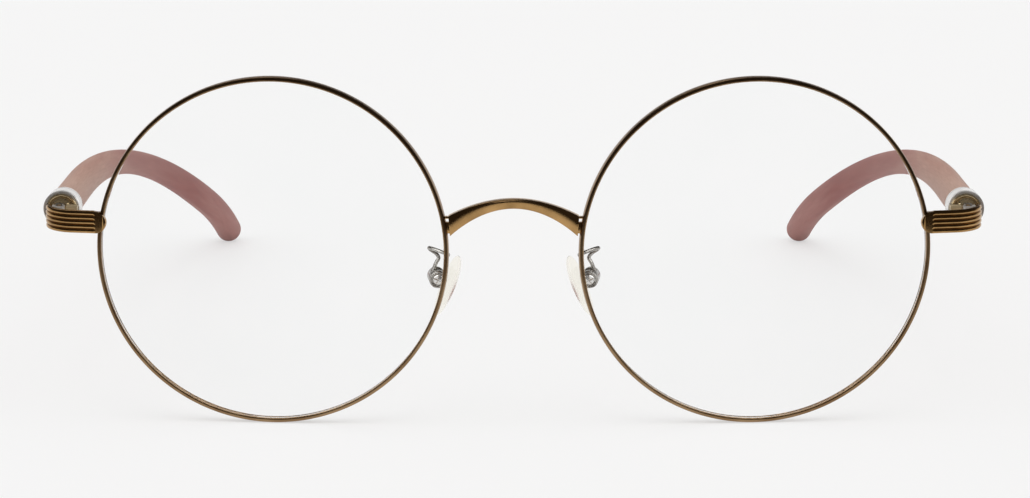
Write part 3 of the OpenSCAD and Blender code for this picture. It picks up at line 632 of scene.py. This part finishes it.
# Turned nickel silver: grey with a fine lathe grain, left bright under clear lacquer.
nickel = plated("turned_nickel_silver", "#98948f", "#b6b3ae", 0.22, 2.0, 0.08, 0.002, 0.85)

for side in ("left", "right"):
    finished("rim_lock", "lock_block", bronze, side, edge=0.05)
    finished("rim_screw", "lock_screw", nickel, side)

# --- Hinges -------------------------------------------------------------------------
# The front half of a three-knuckle hinge on each side: two outer knuckles on a leaf that
# is brazed in the end piece, and a slotted screw for their pin. The middle knuckle comes
# with the ferrule that it is fixed to.

# Brushed nickel silver: paler than the turned screws, with a soft shine that stays light
# in the shade behind the end piece.
brushed_nickel = plated(
    "brushed_nickel_silver", "#b4b0ab", "#cfccc8", 0.28, 2.0, 0.1, 0.002, 0.45
)

for side in ("left", "right"):
    finished("front_hinge", "outer_knuckles", brushed_nickel, side, edge=0.04)
    finished("hinge_screw", "hinge_pin", nickel, side)

# --- Ferrules -----------------------------------------------------------------------
# A bright rhodium-plated band round the head of each temple, its front face bevelled
# inwards and a fine line turned near each end. A gold-plated disc, dished in a ring round
# its flat middle, closes it and carries the block with the hinge's middle knuckle.
temple_at = (67.0437, 7.6, 4.75)
temple_axis = (
    Matrix.Translation(temple_at)
    @ Matrix.Rotation(math.radians(2.35), 4, "Z")
    @ Matrix.Rotation(math.radians(-1.7), 4, "X")
    @ Matrix.Rotation(math.radians(-90), 4, "X")
    @ Matrix.Rotation(math.radians(90), 4, "Z")
)
band_r, band_in, band_l, band_steps = 2.715, 2.275, 3.6, 96
band_front_round, band_back_round, band_slope = 0.11, 0.12, 0.16
line_places, line_deep, line_side, line_w = (0.5, 2.85), 0.05, 0.05, 0.18
disc_r, disc_l, disc_flat_r, disc_round = 2.25, 1.5, 1.05, 0.05
dish_r, dish_w, dish_edge, dish_deep = 1.2, 0.7, 0.12, 0.23

# Rhodium: the whitest and hardest of the platings, polished to a mirror.
rhodium = plated("bright_rhodium_plate", "#d6d4d1", "#e6e4e1", 0.13, 3.0, 0.3, 0.002, 0.65)
# Pale gold: a thin champagne plate, polished, warm beside the white band.
pale_gold = plated("pale_gold_plate", "#b8a27c", "#d2be98", 0.16, 3.0, 0.3, 0.002, 0.8)

band_section = (
    [(band_in, band_slope)]
    + corner(band_r - band_front_round, band_front_round, band_front_round, 245, 360, steps=6)
    + [
        (band_r - deep, at + z)
        for at in line_places
        for deep, z in (
            (0, 0),
            (line_deep, line_side),
            (line_deep, line_w - line_side),
            (0, line_w),
        )
    ]
    + corner(band_r - band_back_round, band_l - band_back_round, band_back_round, 0, 90)
    + [(band_in, band_l)]
)
band = turned(band_section, band_steps)
band.data.transform(temple_axis)
paired(band, "ferrule_band", rhodium, "ferrule", sharp=30)

disc_section = (
    [(0, 0.0), (disc_flat_r, 0.0), (disc_flat_r + 0.07, 0.04)]
    + [
        (dish_r + dish_w * n / 7, dish_edge + dish_deep * math.sin(math.pi * n / 7))
        for n in range(8)
    ]
    + [(1.98, 0.05), (2.05, 0.0), (disc_r - disc_round, 0.0), (disc_r, disc_round)]
    + [(disc_r, disc_l), (0, disc_l)]
)
disc = turned(disc_section, band_steps)
disc.data.transform(temple_axis)
paired(disc, "ferrule_disc", pale_gold, "ferrule_insert", sharp=30)

# The same gold plate over a brushed block: duller, and light even where it is shaded.
brushed_gold = plated(
    "brushed_pale_gold_plate", "#b5a382", "#cdbb99", 0.3, 3.0, 0.3, 0.002, 0.5
)

for side in ("left", "right"):
    finished("temple_hinge", "middle_knuckle", brushed_gold, side, edge=0.05)

# --- Wooden temples -----------------------------------------------------------------
# Each temple is a round rod of rosewood, turned to a slim waist, steam-bent down and in
# behind the ear, rounded at its tip and rubbed with wax. A metal stud holds its head.
straight_l, bend_r, bend_turn, bend_a = 19.5, 240.0, math.radians(23.2), math.radians(24.8)
tip_r, tip_turn, tip_a = 134.0, math.radians(-46), math.radians(7.9)
head_d, neck_d, waist_d, tip_d, end_d = 4.75, 4.6, 3.9, 4.43, 4.34
spigot_r, spigot_at, head_at, head_round = 2.25, 1.52, band_l + 0.02, 0.14
dome_flat, dome_to = 0.03, math.radians(88)
wood_sides, short_steps, long_steps = 40, 12, 60


def bent(turn, a):
    """The frame at the end of a bend through an angle a, towards a direction."""
    towards = Matrix.Rotation(turn, 3, "Z")
    return towards @ Matrix.Rotation(a, 3, "Y") @ Matrix.Rotation(-turn, 3, "Z")


def arc_end(r, turn, a):
    """Where such a bend ends."""
    return Matrix.Rotation(turn, 3, "Z") @ Vector((r * (1 - math.cos(a)), 0, r * math.sin(a)))


def round_row(centre, turn, r):
    """A circle of points across the rod."""
    angles = [2 * math.pi * n / wood_sides for n in range(wood_sides)]
    return [centre + turn @ Vector((r * math.cos(a), r * math.sin(a), 0)) for a in angles]


still = Matrix.Identity(3)
bend_end = Vector((0, 0, straight_l)) + arc_end(bend_r, bend_turn, bend_a)
bend_frame = bent(bend_turn, bend_a)
tip_centre = bend_end + bend_frame @ arc_end(tip_r, tip_turn, tip_a)
tip_frame = bend_frame @ bent(tip_turn, tip_a)
# The spigot in the ferrule and the head, the straight, the slim bend, the bend of the
# tip, and its dome.
wood_rows = [
    round_row(Vector((0, 0, z)), still, r)
    for z, r in (
        (spigot_at, spigot_r),
        (head_at, spigot_r),
        (head_at + 0.02, head_d / 2 - head_round),
        (head_at + 0.06, head_d / 2 - 0.05),
        (head_at + head_round, head_d / 2),
    )
]
for n in range(1, short_steps + 1):
    t = n / short_steps
    z = head_at + head_round + (straight_l - head_at - head_round) * t
    wood_rows.append(round_row(Vector((0, 0, z)), still, (head_d + (neck_d - head_d) * t) / 2))
for n in range(1, long_steps + 1):
    t = n / long_steps
    if t < 0.5:
        d = neck_d + (waist_d - neck_d) * (0.5 - 0.5 * math.cos(2 * math.pi * t))
    else:
        d = waist_d + (tip_d - waist_d) * (0.5 + 0.5 * math.cos(2 * math.pi * t))
    centre = Vector((0, 0, straight_l)) + arc_end(bend_r, bend_turn, bend_a * t)
    wood_rows.append(round_row(centre, bent(bend_turn, bend_a * t), d / 2))
for n in range(1, short_steps + 1):
    t = n / short_steps
    centre = bend_end + bend_frame @ arc_end(tip_r, tip_turn, tip_a * t)
    turn = bend_frame @ bent(tip_turn, tip_a * t)
    wood_rows.append(round_row(centre, turn, (tip_d + (end_d - tip_d) * t) / 2))
for n in range(1, short_steps + 1):
    a = dome_to * n / short_steps
    centre = tip_centre + tip_frame @ Vector((0, 0, (end_d / 2 - dome_flat) * math.sin(a)))
    wood_rows.append(round_row(centre, tip_frame, end_d / 2 * math.cos(a)))

# Rosewood under wax: pinkish brown with long fine fibres, a few darker streaks, and a
# satin shine. The fibres follow the rod's own map, so they bend with it. They are about
# 0.1 mm wide and 4 mm long, in patches 3 mm wide and 20 mm long.
rosewood = bpy.data.materials.new("waxed_rosewood")
rosewood.use_nodes = True
tree = rosewood.node_tree
wood_shader = tree.nodes["Principled BSDF"]
wood_map = add(tree, "TexCoord")
long_way = add(tree, "Mapping", {"Vector": wood_map.outputs["UV"], "Scale": (14.0, 22.0, 1.0)})
broad = add(
    tree,
    "TexNoise",
    {"Vector": long_way.outputs["Vector"], "Scale": 0.35, "Detail": 3.0, "Distortion": 0.6},
)
length_way = add(tree, "SeparateXYZ", {"Vector": wood_map.outputs["UV"]})
drift = add(
    tree,
    "Math",
    {0: broad.outputs["Fac"], 1: 0.35, 2: length_way.outputs["Y"]},
    operation="MULTIPLY_ADD",
)
fine_way = add(tree, "Mapping", {"Vector": wood_map.outputs["UV"], "Scale": (150.0, 40.0, 1.0)})
fibre = add(
    tree, "TexNoise", {"Vector": fine_way.outputs["Vector"], "Scale": 1.0, "Detail": 5.0}
)
# Along the rod the tone follows its length and the broad noise: palest at the head, deepest red
# past the middle, and a little lighter again towards the tip.
tone = add(tree, "ValToRGB", {"Fac": drift.outputs[0]})
tone.color_ramp.elements[0].position = 0.15
tone.color_ramp.elements[0].color = colour("#c2a394")
tone.color_ramp.elements[1].position = 1.0
tone.color_ramp.elements[1].color = colour("#a87770")
for place, tint in ((0.42, "#b48c7e"), (0.6, "#a26e66"), (0.82, "#935852")):
    tone.color_ramp.elements.new(place).color = colour(tint)
streak = add(tree, "ValToRGB", {"Fac": fibre.outputs["Fac"]})
streak.color_ramp.elements[0].position = 0.35
streak.color_ramp.elements[0].color = colour("#d8d0cc")
streak.color_ramp.elements[1].position = 0.6
streak.color_ramp.elements[1].color = colour("#ffffff")
grained = add(
    tree,
    "Mix",
    {0: 0.6, 6: tone.outputs["Color"], 7: streak.outputs["Color"]},
    data_type="RGBA",
    blend_type="MULTIPLY",
)
polish = add(tree, "MapRange", {"Value": fibre.outputs["Fac"], "To Min": 0.42, "To Max": 0.6})
pores = add(
    tree, "Bump", {"Height": fibre.outputs["Fac"], "Strength": 0.12, "Distance": 0.00003}
)
tree.links.new(grained.outputs[2], wood_shader.inputs["Base Color"])
tree.links.new(polish.outputs["Result"], wood_shader.inputs["Roughness"])
tree.links.new(pores.outputs["Normal"], wood_shader.inputs["Normal"])
wood_shader.inputs["Specular IOR Level"].default_value = 0.2

rod = lofted(wood_rows)
rod.data.transform(temple_axis)
paired(rod, "wooden_temple", rosewood, "temple_wood", sharp=50)
for side in ("left", "right"):
    finished("temple_core", "core_stud", nickel, side)

# --- Pad arms and boxes -------------------------------------------------------------
# Nickel-silver wires brazed to the backs of the rims and bent in a tight loop, each with
# a small turned cup on its end, and a domed, slotted screw that holds the pad in the cup.
pad_axis = (
    Matrix.Translation((11.35, 4.5, -4.9))
    @ Matrix.Rotation(math.radians(-22), 4, "Y")
    @ Matrix.Rotation(math.radians(-9), 4, "Z")
)
arm_r, arm_sides, curve_steps = 0.28, 14, 10
arm_root_h, arm_root_r, arm_root_back = -0.65, 25.7, 1.84
rim_back = Vector((-math.sin(wrap), math.cos(wrap), 0))
arm_root = (
    Vector((0, 0, arm_root_h))
    + Vector((rim_edge_x(arm_root_h, arm_root_r), 0, 0))
    + rim_back * arm_root_back
    + Vector((0, -math.sqrt(arm_root_r**2 - arm_root_h**2) * math.sin(wrap), 0))
)
arm_down = pad_axis.to_3x3() @ Vector((0, 0, -1))
seat_mouth = pad_axis @ Vector((0.975, 0, 1))
# The loop, as steps from the root, and then straight down into the seat of the cup.
arm_path = [arm_root, arm_root + rim_back]
arm_path += [
    arm_root + Vector(step)
    for step in (
        (0.75, 2, 0.1),
        (1.9, 2.7, 0.38),
        (2.72, 3.6, 0.42),
        (2.6, 4.35, 0),
        (1.75, 4.62, -0.65),
        (1.36, 4.52, -1.3),
    )
]
arm_path += [seat_mouth + arm_down * step for step in (-1.1, -0.2, 0.38)]
# A smooth curve through those places, and rings of points round it.
wire = []
for n in range(len(arm_path) - 1):
    a, b, c, d = (arm_path[min(max(n + k, 0), len(arm_path) - 1)] for k in (-1, 0, 1, 2))
    for k in range(curve_steps):
        t = k / curve_steps
        wire.append(
            0.5
            * (
                2 * b
                + (c - a) * t
                + (2 * a - 5 * b + 4 * c - d) * t * t
                + (3 * b - a - 3 * c + d) * t * t * t
            )
        )
wire.append(arm_path[-1])
arm_rows, lead = [], Vector((0, 0, 1))
for n, spot in enumerate(wire):
    along = (wire[min(n + 1, len(wire) - 1)] - wire[max(n - 1, 0)]).normalized()
    lead = (lead - along * lead.dot(along)).normalized()
    beside = along.cross(lead)
    angles = [2 * math.pi * k / arm_sides for k in range(arm_sides)]
    arm_rows.append(
        [spot + (lead * math.cos(a) + beside * math.sin(a)) * arm_r for a in angles]
    )
arm = lofted(arm_rows)
paired(arm, "pad_arm_wire", nickel, "pad_arm", sharp=50)

screw_axis = pad_axis @ Matrix.Rotation(math.radians(90), 4, "X")
cup_face, cup_steps = 1.25, 64
ring_in, ring_out, ring_sunk = 0.86, 1.22, 0.03
for side in ("left", "right"):
    finished("pad_box", "pad_cup", nickel, side, edge=0.1)
ring_section = [(ring_in, cup_face - ring_sunk), (ring_out, cup_face - ring_sunk)]
ring_section += corner(ring_out - 0.09, cup_face + 0.01, 0.09, 0, 180, steps=6)
ring_section += corner(ring_in + 0.06, cup_face, 0.06, 0, 180)
ring = turned(ring_section, cup_steps)
ring.data.transform(screw_axis)
paired(ring, "cup_ring", nickel, body="front", sharp=40)

head_r, head_low, head_high, head_dome = 0.75, cup_face + 0.02, cup_face + 0.37, 0.2
shank_r, shank_chamfer, dome_steps = 0.4, 0.05, 8
slot_w, slot_h = 0.2, 0.34
screw_section = [
    (head_r * n / dome_steps, head_high - head_dome * (n / dome_steps) ** 2)
    for n in range(dome_steps)
]
screw_section += [(head_r - 0.03, head_high - 0.19), (head_r, head_high - 0.24)]
screw_section += [(head_r, head_low), (shank_r, head_low)]
screw_section += [(shank_r, -cup_face + shank_chamfer), (shank_r - shank_chamfer, -cup_face)]
screw_section += [(0, -cup_face)]
screw = turned(screw_section, cup_steps)
bpy.ops.mesh.primitive_cube_add(size=1, location=(0, 0, head_high))
slot = bpy.context.object
bpy.ops.transform.resize(value=(2 * head_r + 1, slot_w, slot_h))
bpy.ops.object.transform_apply(location=True, rotation=True, scale=True)
sawn = screw.modifiers.new("sawn_slot", "BOOLEAN")
sawn.object = slot
bpy.context.view_layer.objects.active = screw
bpy.ops.object.modifier_apply(modifier="sawn_slot")
bpy.data.objects.remove(slot)
screw.data.transform(screw_axis)
paired(screw, "pad_cup_screw", rhodium, "pad_screw", sharp=30)

# --- Nose pads ----------------------------------------------------------------------
# Soft oval pads of clear silicone with a crowned face and a rolled edge, each moulded
# round a hard clear plate whose lug the screw goes through.
pad_back, pad_t, pad_w, pad_l, pad_hang = -1.475, 1.4, 6.2, 9.6, 0.7
pad_taper, pad_sides = 0.12, 48
# Rings from the back of the pad to the middle of its face: depth and size, as shares.
pad_rows = []
for share, size in (
    (0.0, 0.6),
    (0.0, 0.8),
    (0.02, 0.87),
    (0.08, 0.93),
    (0.16, 0.97),
    (0.3, 1.0),
    (0.42, 0.99),
    (0.55, 0.95),
    (0.66, 0.885),
    (0.76, 0.79),
    (0.85, 0.66),
    (0.92, 0.5),
    (0.97, 0.32),
    (0.993, 0.15),
    (1.0, 0.03),
):
    row = []
    for n in range(pad_sides):
        a = 2 * math.pi * n / pad_sides
        taper = 1 + pad_taper * math.cos(a)
        row.append(
            pad_axis
            @ Vector(
                (
                    pad_back - share * pad_t,
                    size * pad_w / 2 * math.sin(a) * taper,
                    size * pad_l / 2 * math.cos(a) - pad_hang,
                )
            )
        )
    pad_rows.append(row)

# Clear silicone: slightly yellow in its depth, with a soft skin of 0.4 mm dimples.
skin_mm = 0.4
silicone = bpy.data.materials.new("clear_silicone_rubber")
silicone.use_nodes = True
tree = silicone.node_tree
soft_shader = tree.nodes["Principled BSDF"]
soft_place = add(tree, "TexCoord")
soft_skin = add(
    tree,
    "TexNoise",
    {"Vector": soft_place.outputs["Object"], "Scale": 1000 / skin_mm, "Detail": 2.0},
)
soft_tint = add(tree, "ValToRGB", {"Fac": soft_skin.outputs["Fac"]})
soft_tint.color_ramp.elements[0].color = colour("#fbf8ef")
soft_tint.color_ramp.elements[1].color = colour("#fefcf6")
soft_bump = add(
    tree, "Bump", {"Height": soft_skin.outputs["Fac"], "Strength": 0.1, "Distance": 0.00001}
)
tree.links.new(soft_tint.outputs["Color"], soft_shader.inputs["Base Color"])
tree.links.new(soft_bump.outputs["Normal"], soft_shader.inputs["Normal"])
soft_shader.inputs["Transmission Weight"].default_value = 1.0
soft_shader.inputs["Roughness"].default_value = 0.2
soft_shader.inputs["IOR"].default_value = 1.03
soft_shader.inputs["Specular IOR Level"].default_value = 0.1

pad = lofted(pad_rows)
paired(pad, "soft_nose_pad", silicone, "nose_pad", sharp=60)

# Clear polycarbonate, moulded with a faint frost in grains of a sixth of a millimetre:
# it all but vanishes in the silicone.
polycarbonate = bpy.data.materials.new("frosted_clear_polycarbonate")
polycarbonate.use_nodes = True
tree = polycarbonate.node_tree
plate_shader = tree.nodes["Principled BSDF"]
plate_place = add(tree, "TexCoord")
plate_frost = add(
    tree, "TexNoise", {"Vector": plate_place.outputs["Object"], "Scale": 6000.0, "Detail": 3.0}
)
plate_tint = add(tree, "ValToRGB", {"Fac": plate_frost.outputs["Fac"]})
plate_tint.color_ramp.elements[0].color = colour("#fafaf8")
plate_tint.color_ramp.elements[1].color = colour("#fefefd")
tree.links.new(plate_tint.outputs["Color"], plate_shader.inputs["Base Color"])
plate_shader.inputs["Transmission Weight"].default_value = 1.0
plate_shader.inputs["Roughness"].default_value = 0.1
plate_shader.inputs["IOR"].default_value = 1.01
plate_shader.inputs["Specular IOR Level"].default_value = 0.1
for side in ("left", "right"):
    finished("pad_plate", "hard_pad_plate", polycarbonate, side)

# --- Colour view --------------------------------------------------------------------
# Colours are shown as they are written.
bpy.context.scene.view_settings.view_transform = "Standard"
